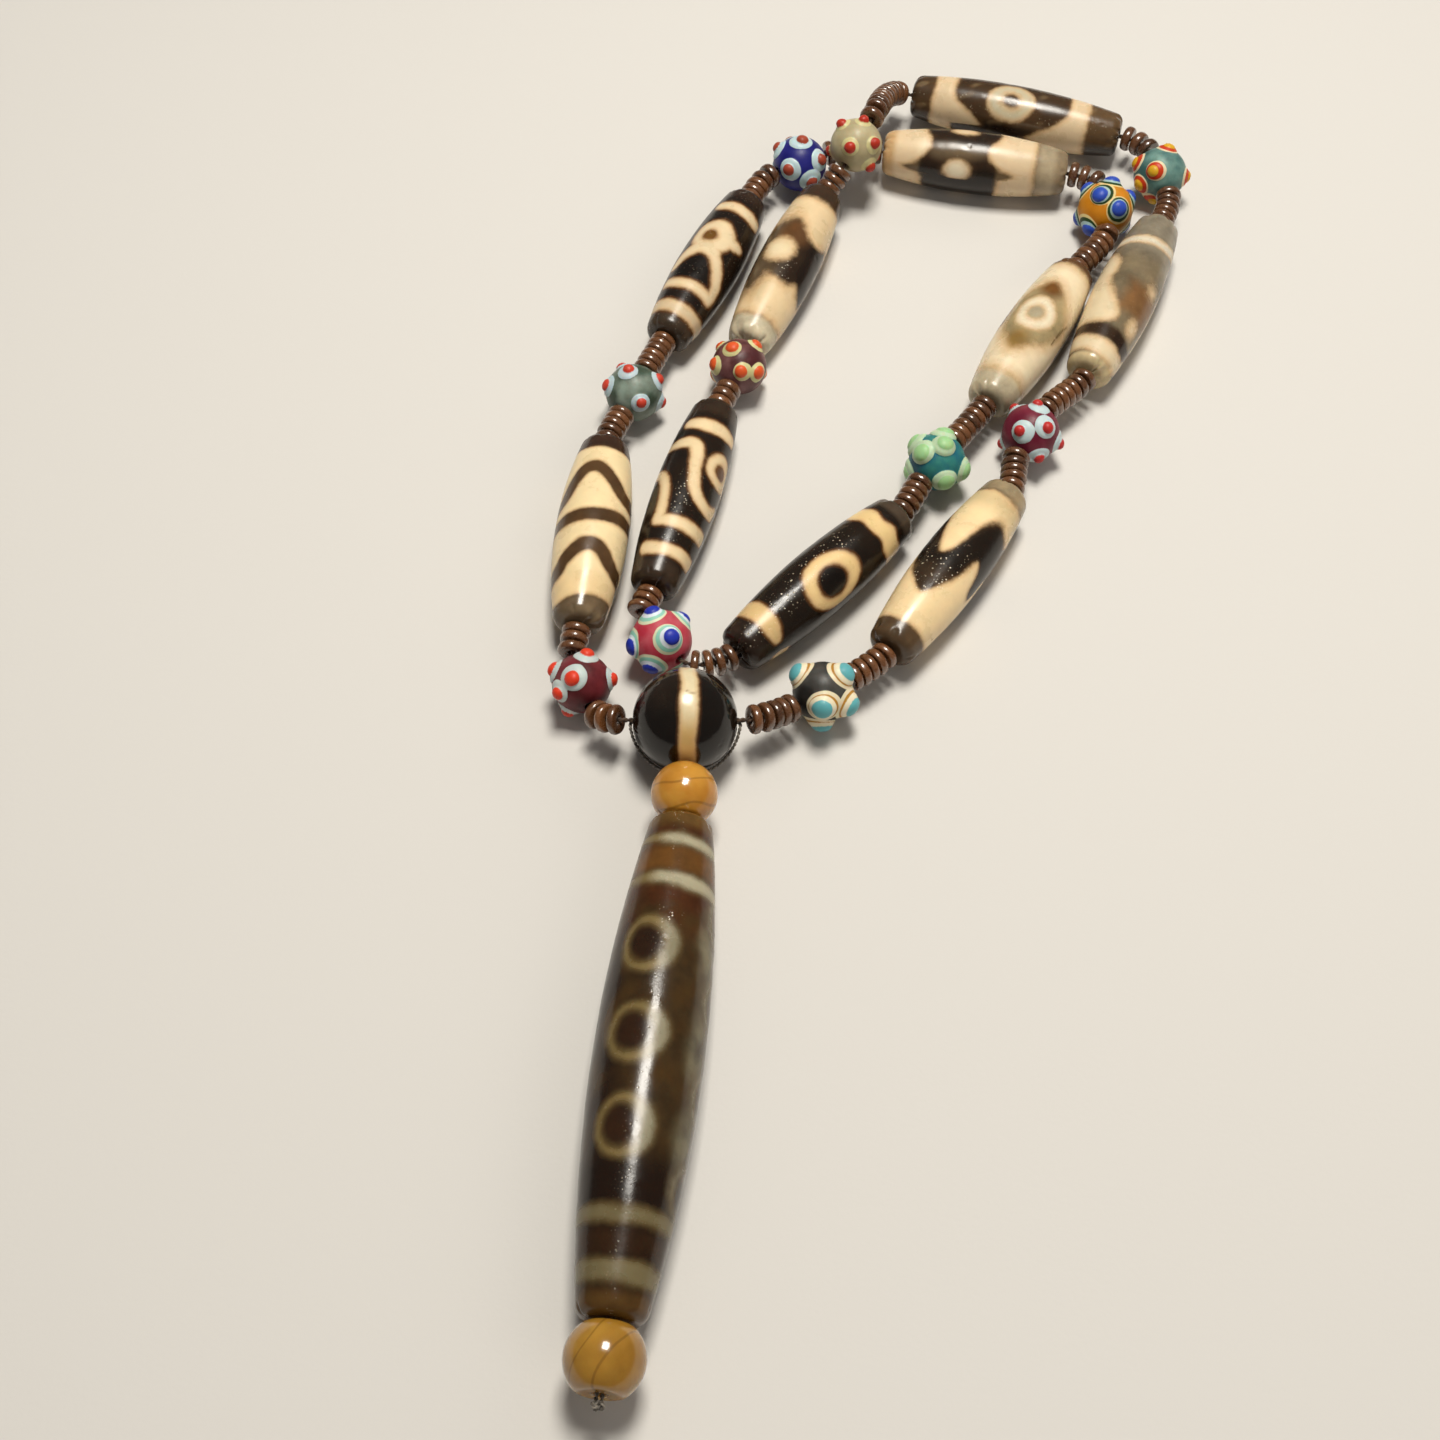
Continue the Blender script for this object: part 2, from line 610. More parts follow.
def moon(s, w):
    left = edge(s, w, [
        (-24, -12), (-12, -12), (-3, -11.6), (0.5, -10.6), (3.5, -10.3), (6, -12), (8, -14),
        (9.2, -16.2), (10.4, -14), (12, -12.3), (24, -12),
    ])
    right = edge(s, w, [
        (-24, 6), (-6, 5.4), (-2.6, 5.6), (-0.5, 5), (2, 3.4), (4.2, 2.8), (6, 4), (7.4, 6.4),
        (8.4, 9), (9.4, 7.6), (10.6, 5.8), (24, 5.4),
    ])
    eye = oval(s, w, -3.8, 8.3, 3.2, 2.6)
    spot = oval(s, w, -3, -2.6, 3, 2)
    cap = edge(s, w, [(-24, 14.6), (0, 14), (24, 14.4)])
    marks = both(either(-left, right, eye, spot), -cap)
    pale = patch(s, w, [
        (-10, 5.4), (-6, 6), (-1, 5.4), (2.4, 4.6), (2, 3), (-2, 2.6), (-7, 2.2), (-10, 3),
    ])
    wedges = either(both(s - 5.4, band(w, 8.5, 4)), both(-12.6 - s, band(w, 9.2, 3.4)))
    ground = washed(
        "#2E2015",
        (pale, 3, "#6B5942"),
        (both(left, -right, w - 8), 3, "#1C130C"),
        (-1 - w, 3, "#20160E"),
        (wedges, 1.2, "#66543C"),
        (cap, 1.5, "#A8987C"),
        (cap - 4.5, 2, "#8A785E"),
    )
    white = washed(
        "#DAC29E",
        (oval(s, w, -8.5, 4, 4.5, 5), 3, "#E8D8B8"),
        (eye, 1, "#E0D2B6"),
        (-18.5 - s, 2, SHELL),
    )
    return look(marks * 0.6, white, ground, 0.35, ease((2.6 - np.hypot(s + 3, w - 6)) / 2) * 0.5)


etched_bead("dzi_moon", dzi_blank("dzi_moon", 37), moon, light_agate)


# ---- Dzi bead with a halo ----
# Mostly ivory, with one white ring in the middle. A soft tan halo runs out of the ring towards
# both ends, and a rust brown spot sits in each of its arms.

def halo(s, w):
    halo_area = patch(s, w, [
        (-11.8, 0.3), (-8.6, 3.3), (-4.6, 6), (0, 7.3), (4.4, 5.8), (8.6, 3.2), (11.4, 0.6),
        (8.2, -2.8), (4.4, -6), (0, -8), (-4.6, -6.2), (-8.8, -2.8),
    ])
    ring = both(oval(s, w, -0.5, 0.1, 5.4, 4.7), -oval(s, w, -0.5, 0.1, 1.9, 1.7))
    near_cap = -19 - s
    far_cap = s - 17.3
    dark = both(band(s, 0.2, 7), w - 7)
    marks = either(ring, both(-halo_area, -near_cap, -far_cap, -dark) * 0.5)
    crack = stroke(s, w, [(-3.6, -8), (-1.6, -7.4), (1, -7.1), (3.6, -7)], 0.5)
    ground = washed(
        "#A39069",
        (dark, 1.5, "#33261A"),
        (near_cap, 1.5, "#5C3F26"),
        (far_cap, 1.5, "#BDAF92"),
        (oval(s, w, 8.8, 0.4, 3.2, 2.8), 4, "#806434"),
        (oval(s, w, -9.2, 0.2, 3, 2.8), 3.6, "#6E4820"),
        (oval(s, w, -0.5, 0.1, 2.6, 2.4), 1, "#A2967C"),
        (crack, 0.5, "#5A482E"),
    )
    white = washed("#E4D2B0", (both(halo_area, -ring), 1, "#C2AC82"), (ring, 1, "#E4D8BC"))
    return look(both(marks * 0.6, -crack), white, ground, 0.0)


etched_bead("dzi_halo", dzi_blank("dzi_halo", 41), halo, light_agate)


# ---- Dzi bead with a ring ----
# Black-brown agate with a broad ivory line round each end and one bold ivory ring between
# them. Its ground is pitted, so its shine breaks up into sparks.

def ring_figure(s, w):
    near_line = band(s + 0.3 * np.sin(w), -15.6, 4.2)
    ring = both(oval(s, w, 0.5, -4.3, 6.9, 5.6), -oval(s, w, 0.7, -4.6, 3.8, 3.2))
    far_line = stroke(s, w, [
        (17.2, 13), (17, 4), (16.8, -2), (17.2, -5.6), (17.4, -7.4),
    ], [3.8, 4, 3.9, 2.8, 1.6])
    marks = either(near_line, ring, far_line)
    ground = washed(
        "#1E150D",
        (-20 - s, 1.5, "#463A2E"),
        (s - 20, 2, "#2E2118"),
        (oval(s, w, 0.8, -4.8, 3, 2.6), 2, "#140D08"),
    )
    white = washed("#E0C28A", (s - 13, 3, "#D6B680"))
    worn = ease((4 - np.abs(w - 0.5 + 0.12 * s)) / 3) * ease((s + 12) / 8)
    return look(marks, white, ground, 0.9, worn)


etched_bead("dzi_ring", dzi_blank("dzi_ring", 53), ring_figure, dark_agate)


# ---- Dzi bead with a scroll ----
# Black-brown agate with two ivory lines near one end and one near the other. One of them turns
# off along the bead like a stream, and a loop curls over it round a brown eye.

def scroll(s, w):
    near_line = stroke(s, w, [(-17.8, 13), (-17.9, 4), (-18.1, -4.6)], 2.9)
    bar = stroke(s, w, [(-11.3, 13), (-11.3, 4), (-11.5, -2.2)], 2.8)
    foot = stroke(s, w, [
        (-11.6, -2.8), (-8, -2.8), (-4, -3.4), (-1, -4.8), (1, -6.6), (2.4, -12),
    ], [2.6, 2.4, 2.3, 2.3, 2.2, 2])
    curl = stroke(
        s,
        w,
        [
            (-1.6, 13), (-3.6, 10.6), (-4.9, 8), (-4.4, 5), (-1.7, 2.6), (2.5, 1.4), (6.6, 0.8),
            (9, -0.6), (9.2, -4), (9, -7),
        ],
        [2.8, 3, 2.9, 2.8, 2.6, 2.6, 2.9, 3.2, 3, 2.6],
    )
    eye_ring = both(oval(s, w, 5.3, 7.4, 4.3, 4), -oval(s, w, 5.3, 7.4, 1.9, 1.8))
    far_line = stroke(s, w, [(15, 8.6), (15, 2), (15.1, -4)], [2.6, 3.5, 2.8])
    marks = either(near_line, bar, foot, curl, eye_ring, far_line)
    ground = washed(
        "#20160E",
        (oval(s, w, 5.3, 7.4, 2.2, 2), 1, "#5E3D22"),
        (-20.5 - s, 2, "#382B20"),
        (s - 19, 2, "#33261B"),
    )
    white = washed("#E2CBA2", (w - 7, 5, "#D2B88C"))
    worn = ease((3 - np.abs(w - 1.3)) / 2) * (
        ease((6 - np.abs(s + 3)) / 3) + 0.4 * ease((8 - np.abs(s + 14)) / 3)
    )
    return look(marks, white, ground, 0.8, worn)


etched_bead("dzi_scroll", dzi_blank("dzi_scroll", 67), scroll, dark_agate)


# ---- Dzi bead with a cloud ----
# Brown agate, etched ivory from both ends. The ivory runs in tongues into a smoky middle, where
# a white eye lies like a small cloud, and both tips are left bare.

def cloud(s, w):
    left = edge(s, w, [
        (-24, -9), (-10, -9), (-6, -13), (-3.6, -12), (-1.5, -8.8), (1.5, -8.6), (4, -9), (6, -7.6),
        (8, -9.4), (10, -10.4), (13, -11), (24, -9),
    ])
    right = edge(s, w, [
        (-24, 5.5), (-9, 6), (-6, 7.4), (-3, 9), (-0.5, 9.8), (1.6, 7.6), (3.4, 5.4), (5.6, 4.4),
        (8, 5.4), (10, 6.8), (13, 7), (24, 5.5),
    ])
    eye = oval(s, w, -0.6, -1.4, 3.8, 3.6)
    near_cap = -19.3 - s
    far_cap = s - 17.7
    middle = both(left, -right)
    lower = ease((1.5 - w) / 4)
    marks = both(
        either(-left * (1 - 0.55 * lower), right * (1 - 0.55 * lower), eye), -near_cap, -far_cap
    )
    smoke = both(middle, 0.5 - w)
    ground = washed(
        "#2F2116",
        (smoke, 5, "#5E4D38"),
        (both(middle, w - 5), 3, "#1C130D"),
        (oval(s, w, 5.2, 0.2, 4, 3.6), 3.5, "#5C3D22"),
        (near_cap, 1.5, "#CCC0A4"),
        (far_cap, 1, "#3E2D20"),
    )
    white = washed("#DCC39A", (both(-left, -1 - w, s + 15), 4, "#BDA984"), (eye, 1, "#DFCDA8"))
    worn = ease((3 - np.abs(w - 1.5)) / 2) * ease((4 - np.abs(s + 6)) / 2)
    return look(marks * 0.4, white, ground, 0.1, worn)


etched_bead("dzi_cloud", dzi_blank("dzi_cloud", 71), cloud, light_agate)


# ---- Dzi bead with peaks ----
# Mottled brown agate. The ivory etched along it runs to pointed peaks on both sides of a brown
# middle, in which one big white ring lies.

def peaks(s, w):
    left = edge(s, w, [
        (-24, -14.6), (-6, -14.4), (-2, -14.7), (4, -14.2), (6, -12), (8, -9.4), (10, -7.2),
        (11.5, -6.6), (13, -8.5), (16, -13), (24, -14.6),
    ])
    right = edge(s, w, [
        (-24, 8), (-14, -1), (-12, -0.4), (-8, 9), (-4, 12), (0, 12.6), (4, 12.2), (6, 10.6),
        (8, 7.6), (10, 4.9), (12, 3.8), (14, 6), (24, 8),
    ])
    eye_ring = both(oval(s, w, -1.2, 2.9, 5.6, 5), -oval(s, w, -1.2, 2.9, 2, 1.8))
    near_cap = -19.8 - s
    far_cap = s - 17.4
    marks = either(both(either(-left, right), -near_cap, -far_cap), eye_ring * 0.9)
    mottle = drift(np.stack([s, w, 0 * s], -1), 3.2, 8)
    ground = washed(
        "#43301E",
        (both(band(s, -0.5, 12), w - 8.4), 2, "#241811"),
        (near_cap, 1, "#4A3724"),
        (far_cap, 1.2, "#5C462E"),
        (mottle - 0.6, 0.8, "#6E5A40"),
        (mottle * 2 - w - 4, 3, "#2C1F14"),
    )
    white = washed("#DAC29E", (eye_ring, 1, "#BFB497"))
    return look(
        marks * 0.7, white, ground, 0.4, ease(0.5 + mottle) * ease((3 - np.abs(w - 5.4)) / 2) * 0.6
    )


etched_bead("dzi_peaks", dzi_blank("dzi_peaks", 83), peaks, light_agate)


# ---- Dzi bead with patches ----
# Grey-brown agate, half clear, with a white line round each end and a brown one beside the far
# line. Between them an ivory patch runs down in steps, and two ivory spots sit in a brown field.

def patches(s, w):
    near_line = band(s, -13.4 + np.interp(w, [-10, -4, 6, 12], [-1.8, -0.4, 0.8, 0.8]), 3)
    step_line = [
        (-8.6, 13), (-8.4, 7), (-5.4, 3.7), (-2, 3), (0.6, 3.6), (3, 3), (5, 1.6), (7, 0.6),
        (9, -0.8), (11, -1.6), (13.4, -1.2), (14.6, 1.6), (14.8, 7), (14.4, 14), (3, 16),
    ]
    ivory_patch = patch(s, w, step_line)
    spots = either(oval(s, w, -0.2, -6.8, 1.6, 1.4) * 0.4, oval(s, w, 12.2, -6.4, 2.5, 2) * 0.7)
    far_line = band(s, 20.4 + np.interp(w, [-9, 0, 9], [1, 0.2, -0.6]), 4.4)
    marks = either(near_line * 1.3, ivory_patch, spots, far_line * 1.2)
    brown_line = band(s, 16.4 + np.interp(w, [-9, -3, 8], [1.6, 0.3, -0.4]), 3.4)
    ground = washed(
        "#786A52",
        (-9 - s, 8, "#857B69"),
        (s - 23, 1, "#C9B58C"),
        (both(band(s, 5, 9), -0.5 - w), 4, "#7E5A36"),
        (brown_line, 1.6, "#3B2818"),
        (both(brown_line, -3 - w), 2, "#2A1C12"),
    )
    white = washed("#DAC7A4", (near_line, 2, "#D6CDB8"))
    return look(marks * 0.5, white, ground, 0.1, 0.05)


etched_bead("dzi_patches", dzi_blank("dzi_patches", 97), patches, light_agate)


# ---- Dzi bead with a tooth ----
# Dark agate, much pitted. Two etched ivory tongues reach over it, and between them the ground
# ends in one pointed tooth.

def tooth(s, w):
    upper = patch(s, w, [
        (-18, 9), (-11, 7.7), (-7, 5.4), (-3, 4.2), (0, 3.3), (1.6, 1.9), (0, 0.2), (-3, -0.8),
        (-6, -1.3), (-9, -2), (-11.4, -3.6), (-13.4, -6.4), (-16, -10), (-24, 0),
    ])
    dark = patch(s, w, [
        (-9, 13), (1.5, 8), (6, 6.2), (9, 3.8), (11.9, 0.5), (9, -2.2), (5, -3.9), (1, -4.9),
        (-1.5, -5.8), (1, -7.4), (5, -9), (4, -13), (-8, -12), (-11.4, -7.5), (-12.2, -4.8),
        (-11, -2.4), (-8, -1.3), (-3, -0.8), (1.6, 1.9), (-3, 4.2), (-11, 7.7),
    ])
    near_cap = -18.6 - s
    far_cap = s - 19.3
    marks = both(either(-dark, upper), -near_cap, -far_cap)
    soft_foot = 1 - 0.5 * ease((-1 - w) / 3) * ease((-4 - s) / 3)
    ground = washed(
        "#1F160E",
        (near_cap, 2.5, "#958365"),
        (far_cap, 1.2, "#54412D"),
        (both(dark, s - 5), 5, "#3B2C1D"),
    )
    white = washed("#EACFA0", (-14 - s, 5, "#D2BA8C"))
    worn = ease((s + 4) / 6) * ease((7 - np.abs(w)) / 3) * ease((14 - s) / 3)
    return look(marks * 0.8 * soft_foot, white, ground, 0.4, worn)


etched_bead("dzi_tooth", dzi_blank("dzi_tooth", 101), tooth, light_agate)


# ---- Round bead ----
# A ball of black agate with one ivory band round its middle, across the bore. The strand's two
# ends and the pendant's thread all meet in its wide bore.

ROUND_BORE = 3
ROUND_PITS = ((40, 0.1, 0.9, 0.5, 0.1), (5, 0.93, 0.97, 0.9, 0.25))
# Lip of a ball's bore, like LIP, and the half width of its rounding
BALL_LIP = ((0, 0.25), (0.12, 0.08), (0.4, 0))
BALL_RIM = 0.45
ROUND_AROUND = 144
ROUND_ALONG = 96


def ball_profile(girth, mouth, side_steps):
    """Outline of a drilled ball, rounded where the bore breaks out, in rows like a barrel's."""
    radius = girth / 2
    start = math.asin((mouth + BALL_RIM) / radius)
    rows = []
    for turn in np.linspace(start, math.pi - start, side_steps):
        ahead, outward = -math.cos(turn), math.sin(turn)
        rows.append((radius * ahead, radius * outward, ahead, outward))
    end = rows[-1][0]
    tip = [(end - sink, mouth + r, 0.7, 0.7) for sink, r in BALL_LIP]
    back = [(-s, r, -a, b) for s, r, a, b in reversed(tip)]
    inside = end - BALL_LIP[-1][0]
    wall = [(s, mouth, 0, 1) for s in np.linspace(inside, -inside, 7)[1:-1]]
    return np.array(back + rows + tip + wall)


def stripe(s, w):
    left = -edge(s, w, [
        (-31, -2), (-12, -2.1), (-4, -2.6), (1, -2.5), (5, -2.2), (12, -2.1), (31, -2),
    ])
    right = edge(s, w, [
        (-31, 1.4), (-12, 1.1), (-4, 0.8), (1, 0.7), (5, 0.9), (12, 1.2), (31, 1.4),
    ])
    crack = stroke(s, w, [(-2.6, -0.2), (-1.4, -0.4), (-0.4, -0.1)], 0.25)
    ground = washed("#17120E", (oval(s, w, 4, 3, 5, 6), 5, "#241B14"))
    white = washed(
        "#DACBA6", (crack, 0.4, "#7A5C3C"), (w - 9, 5, "#BFAF8A"), (-6 - w, 6, "#CFAA6C")
    )
    return look(-either(left, right), white, ground, 0.5)


x, y, z, heading, slope, length, girth = STRUNG["round_bead"]
round_profile = ball_profile(girth, ROUND_BORE / 2, ROUND_ALONG)
round_blank = Stone((x, y, z), length, girth, round_profile, ROUND_AROUND, ROUND_PITS, 7, heading)
black_agate = etched_agate("black_agate", "#6E4420", 0.03)
etched_bead("round_bead", round_blank, stripe, black_agate)


# ---- Long pendant bead ----
# One long barrel of warm brown, half clear agate. Old etching has sunk into it as soft buff
# bands at both ends and a row of ring eyes, and its skin is dotted where it has weathered.

PENDANT_LENGTH = 90
PENDANT_GIRTH = 19
PENDANT_END = 11.2
PENDANT_EDGE = 2.2
PENDANT_BORE = 2.4
PENDANT_HEADING = 263.5
PENDANT_PITS = ((60, 0.05, 0.95, 0.6, 0.12), (6, 0.97, 1.0, 1.6, 0.35))
PENDANT_AROUND = 152
PENDANT_ALONG = 216


def pendant_figure(s, w):
    bands = either(
        band(s + 0.03 * w, -38, 3 - 0.1 * np.clip(w, 0, 10)),
        band(s + 0.04 * w, -29.5, 3.4 - 0.12 * np.clip(w, 0, 10)),
        band(s, 30, 3),
        band(s, 38.7, 3.8),
    )
    eyes = []
    hearts = []
    for at_s, at_w in ((-16.3, 2), (0, 1.8), (16.1, 1.8)):
        heart = oval(s, w, at_s, at_w + 0.8, 3.5, 3.3)
        eyes.append(both(oval(s, w, at_s, at_w, 5.6, 5.9), -heart))
        hearts.append(heart)
    for at_s, at_w in ((-8.5, -15), (8.3, -15), (24, -14), (-24, -15)):
        eyes.append(both(oval(s, w, at_s, at_w, 5, 5.2), -oval(s, w, at_s, at_w, 3.2, 3.2)) * 0.5)
    slow = drift(np.stack([s, w, 0 * s], -1), 7, 5)
    blotches = either(*(oval(s, w, at, -10.6, 5.5, 3) for at in (-17, 0.5, 17)))
    ground = washed(
        "#23140A",
        (3 - w, 10, "#3B2B16"),
        (-20 - s, 10, "#47260F"),
        (blotches, 4, "#696046"),
        (slow - 0.3, 1.2, "#402D14"),
        (band(s, -33.8, 5), 2.5, "#65421B"),
        (s - 20, 8, "#1E1108"),
        (band(s, 34.4, 4), 2.5, "#321E0D"),
        (-41.3 - s, 3, "#654922"),
        (s - 41.5, 3, "#4F3718"),
        (either(*hearts) - 0.4, 1.8, "#2E1B0D"),
    )
    white = washed(
        "#7A6840",
        (-0.5 - w, 5, "#837C64"),
        (both(band(s, -34, 14), 4 - w), 5, "#A29A80"),
        (s - 25, 4, "#6C6144"),
    )
    worn = ease((2.4 - np.abs(w)) / 2.4) * 0.3 + ease((3.4 - np.hypot(s + 22, w + 1)) / 3) * 0.6
    return look(either(bands, *eyes) * 0.8, white, ground, 0.0, worn)


pendant_agate = etched_agate(
    "brown_agate", "#4F3A20", 0.12, soft=0.8, see_through=0.14, rim="#5A4828"
)
low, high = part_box("pendant_dzi")
pendant_profile = barrel_profile(
    PENDANT_LENGTH, PENDANT_GIRTH, PENDANT_END, PENDANT_EDGE, PENDANT_BORE, PENDANT_ALONG
)
pendant_blank = Stone(
    (low + high) / 2 / MM,
    PENDANT_LENGTH,
    PENDANT_GIRTH,
    pendant_profile,
    PENDANT_AROUND,
    PENDANT_PITS,
    19,
    PENDANT_HEADING,
)
etched_bead("pendant_dzi", pendant_blank, pendant_figure, pendant_agate)


# ---- Amber beads ----
# A ball of cloudy honey amber sits over the pendant bead, and a larger, browner one under it.
# Both are flattened where they are drilled, and fine dark growth lines run through them.

# The upper one lies halfway between the strand's middle line and the pendant
HALF_HEADING = (270 + PENDANT_HEADING) / 2
# Length and girth in mm, heading, the clear and the milky colour, and the turn of the growth lines
AMBERS = {
    "amber_upper": (10.6, 12.4, HALF_HEADING, "#AC7222", "#C8923A", 3),
    "amber_lower": (10.8, 13.2, PENDANT_HEADING, "#8C6420", "#AE8230", 5),
}
AMBER_EDGE = 2
AMBER_LIP = ((0.08, 0.25), (0.2, 0.1), (0.45, 0))
AMBER_LIP_REACH = 0.45
AMBER_AROUND = 104
AMBER_ALONG = 60
AMBER_PITS = ((12, 0.1, 0.8, 0.4, 0.07), (4, 0.85, 0.95, 0.9, 0.2))


def amber_profile(length, girth):
    """Outline of a ball that is cut flat and rounded where it is drilled, as barrel_profile's."""
    radius = girth / 2
    edge_s = length / 2 - AMBER_EDGE
    edge_r = math.sqrt((radius - AMBER_EDGE) ** 2 - edge_s**2)
    lean = math.atan2(edge_s, edge_r)
    rows = [
        (radius * math.sin(t), radius * math.cos(t), math.sin(t), math.cos(t))
        for t in np.linspace(-lean, lean, AMBER_ALONG)
    ]
    mouth = PENDANT_BORE / 2
    tip = [
        (
            edge_s + AMBER_EDGE * math.sin(t),
            edge_r + AMBER_EDGE * math.cos(t),
            math.sin(t),
            math.cos(t),
        )
        for t in np.linspace(lean, math.pi / 2, 9)[1:]
    ]
    tip += [(length / 2, r, 1, 0) for r in np.linspace(edge_r, mouth + AMBER_LIP_REACH, 4)[1:]]
    tip += [(length / 2 - sink, mouth + r, 0.7, 0.7) for sink, r in AMBER_LIP]
    back = [(-s, r, -a, b) for s, r, a, b in reversed(tip)]
    inside = length / 2 - AMBER_LIP[-1][0]
    wall = [(s, mouth, 0, 1) for s in np.linspace(inside, -inside, 6)[1:-1]]
    return np.array(back + rows + tip + wall)


def cloudy_amber(name, honey, milky, turn):
    """Polished butter amber, honey clouded with a milkier colour, with thin dark growth lines."""
    finish, tree, shader = new_finish(
        name,
        IOR=1.54,
        Roughness=0.17,
        Subsurface_Weight=0.35,
        Subsurface_Scale=0.002,
        Coat_Weight=0.4,
        Coat_Roughness=0.12,
    )
    shader.inputs["Subsurface Radius"].default_value = (1.0, 0.45, 0.12)
    turned = {"Vector": add(tree, "TexCoord", {}, "Object"), "Rotation": (turn, 0.7, turn * 0.6)}
    where = add(tree, "Mapping", turned)
    cloud = noise(tree, where, 130.0, 5.0)
    growth = {"Vector": where, "Scale": 75.0, "Distortion": 4.0, "Detail": 2.0, "Detail Scale": 0.8}
    lines = add(tree, "TexWave", growth, "Fac", bands_direction="X")
    thin = spread(tree, lines, 0.965, 1.0, 0.0, 0.38, eased=True)
    body = covered(tree, spread(tree, cloud, 0.35, 0.7), tint(honey), tint(milky))
    tree.links.new(covered(tree, thin, body, tint("#4A2808")), shader.inputs["Base Color"])
    relief(tree, shader, cloud, 0.2, 0.0002)
    return finish


for node, (length, girth, heading, honey, milky, seed) in AMBERS.items():
    low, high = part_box(node)
    profile = amber_profile(length, girth)
    middle = (low + high) / 2 / MM
    blank = Stone(middle, length, girth, profile, AMBER_AROUND, AMBER_PITS, seed, heading)
    resin = cloudy_amber(node + "_resin", honey, milky, seed)
    amber = solid_from_grids(node + "_ball", [blank.points], resin)
    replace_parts(amber, node)


# ---- Glass eye beads ----
# Each is a ball of wound glass with a matt, etched skin. Dots of coloured glass are laid on it
# one over another while it is hot, so each eye is a low stack of rings with a drop on top.

# Eyes of each bead: angle from the far end of the bore, and angle round the bore from the top
EYES = {
    "glass_burgundy": (
        (60, -25), (110, 18), (108, 66), (105, -75), (60, 65), (60, -115), (120, 130)
    ),
    "glass_green": (
        (85, 15), (135, -55), (115, 65), (135, 155), (60, -60), (45, 65), (85, -105), (75, 120)
    ),
    "glass_blue": (
        (88, 5), (140, -50), (128, 48), (85, 75), (132, 135), (60, -55), (95, -90), (50, 150)
    ),
    "glass_orange": (
        (50, 34), (78, -18), (105, 82), (47, -104), (68, 128), (128, 15), (125, -65), (92, -118)
    ),
    "glass_teal": (
        (92, 11), (58, -28), (45, 85), (94, -66), (45, -117), (98, 88), (132, -10), (115, 150)
    ),
    "glass_pink": ((56, -6), (127, 8), (92, -72), (68, 85), (120, 95), (60, -114), (131, 177)),
    "glass_purple": (
        (95, 15), (138, -33), (125, 62), (112, -66), (60, 75), (55, -30), (65, -125), (100, 122)
    ),
    "glass_cream": (
        (125, -8), (87, -58), (79, 42), (120, 105), (122, -98), (50, -5), (60, 120), (75, -145)
    ),
    "glass_sea": ((116, 20), (55, -30), (64, 80), (45, -146), (112, -68), (115, 115), (68, -95)),
    "glass_maroon": (
        (79, 36), (47, -12), (119, -75), (42, 103), (66, -125), (98, 98), (118, -5), (125, 155)
    ),
    "glass_black": ((66, 62), (132, 5), (68, -60), (114, -112), (118, 82), (62, 140)),
}
# Colour of the ball and its cloudy patches, then the dots from the widest to the drop on top:
# radius of the dot in mm, how far it raises the eye, and its colour
GLASS = {
    "glass_burgundy": ("#4C1519", "#752C32", ((2.5, 0.5, "#B9C4C2"), (1.3, 0.85, "#D23C24"))),
    "glass_green": ("#3C4A3C", "#869488", ((2.3, 0.5, "#B4C6CC"), (1.15, 0.75, "#C0402E"))),
    "glass_blue": ("#18186A", "#2A2A7E", ((2.7, 0.45, "#BAD0D4"), (1.3, 0.85, "#9A4430"))),
    "glass_orange": (
        "#C07812",
        "#CC8824",
        ((3, 0.2, "#DCC68C"), (2.6, 0.25, "#24401E"), (2, 0.3, "#9FB9B8"), (1.6, 0.65, "#2E4CAE")),
    ),
    "glass_teal": ("#165874", "#3C8878", ((2.8, 0.9, "#B4CCAA"), (1.7, 0.5, "#98C48A"))),
    "glass_pink": (
        "#B03042",
        "#C0606A",
        (
            (3.1, 0.2, "#D2D4B4"), (2.65, 0.2, "#8CC4B2"), (2.05, 0.25, "#D4DCE4"),
            (1.5, 0.6, "#2434A4"),
        ),
    ),
    "glass_purple": ("#4C2426", "#845C5A", ((2.15, 0.45, "#CAC48E"), (1.35, 0.6, "#D4582A"))),
    "glass_cream": ("#A29674", "#B8AC88", ((2, 0.4, "#C8BF8C"), (1.2, 1.05, "#AC3020"))),
    "glass_sea": (
        "#3A605E", "#7A9E94", ((2.5, 0.3, "#D8CCA8"), (2.1, 0.3, "#BE3A18"), (1.25, 0.5, "#D0A024"))
    ),
    "glass_maroon": ("#62142A", "#7C2C3E", ((2.5, 0.5, "#BACCCE"), (1.1, 0.95, "#B42E2C"))),
    "glass_black": (
        "#201E1C",
        "#484642",
        (
            (3.5, 0.35, "#DCD0B0"), (2.8, 0.35, "#AC7C2C"), (2.45, 0.6, "#E2D8BC"),
            (1.7, 0.6, "#5EA6AC"),
        ),
    ),
}
GLASS_BORE = 2
GLASS_AROUND = 116
GLASS_ALONG = 82
# Unevenness of the ball and how it fades in, like SWELL and FADE
GLASS_SWELL = (0.05, 6)
GLASS_FADE = 0.7
# How far a dot slips off the one under it, how far it is pulled out of round, and how its rim
# strays, like SWELL
DOT_SLIP = 0.035
DOT_PULL = 0.08
DOT_WAVER = (0.05, 1.6)


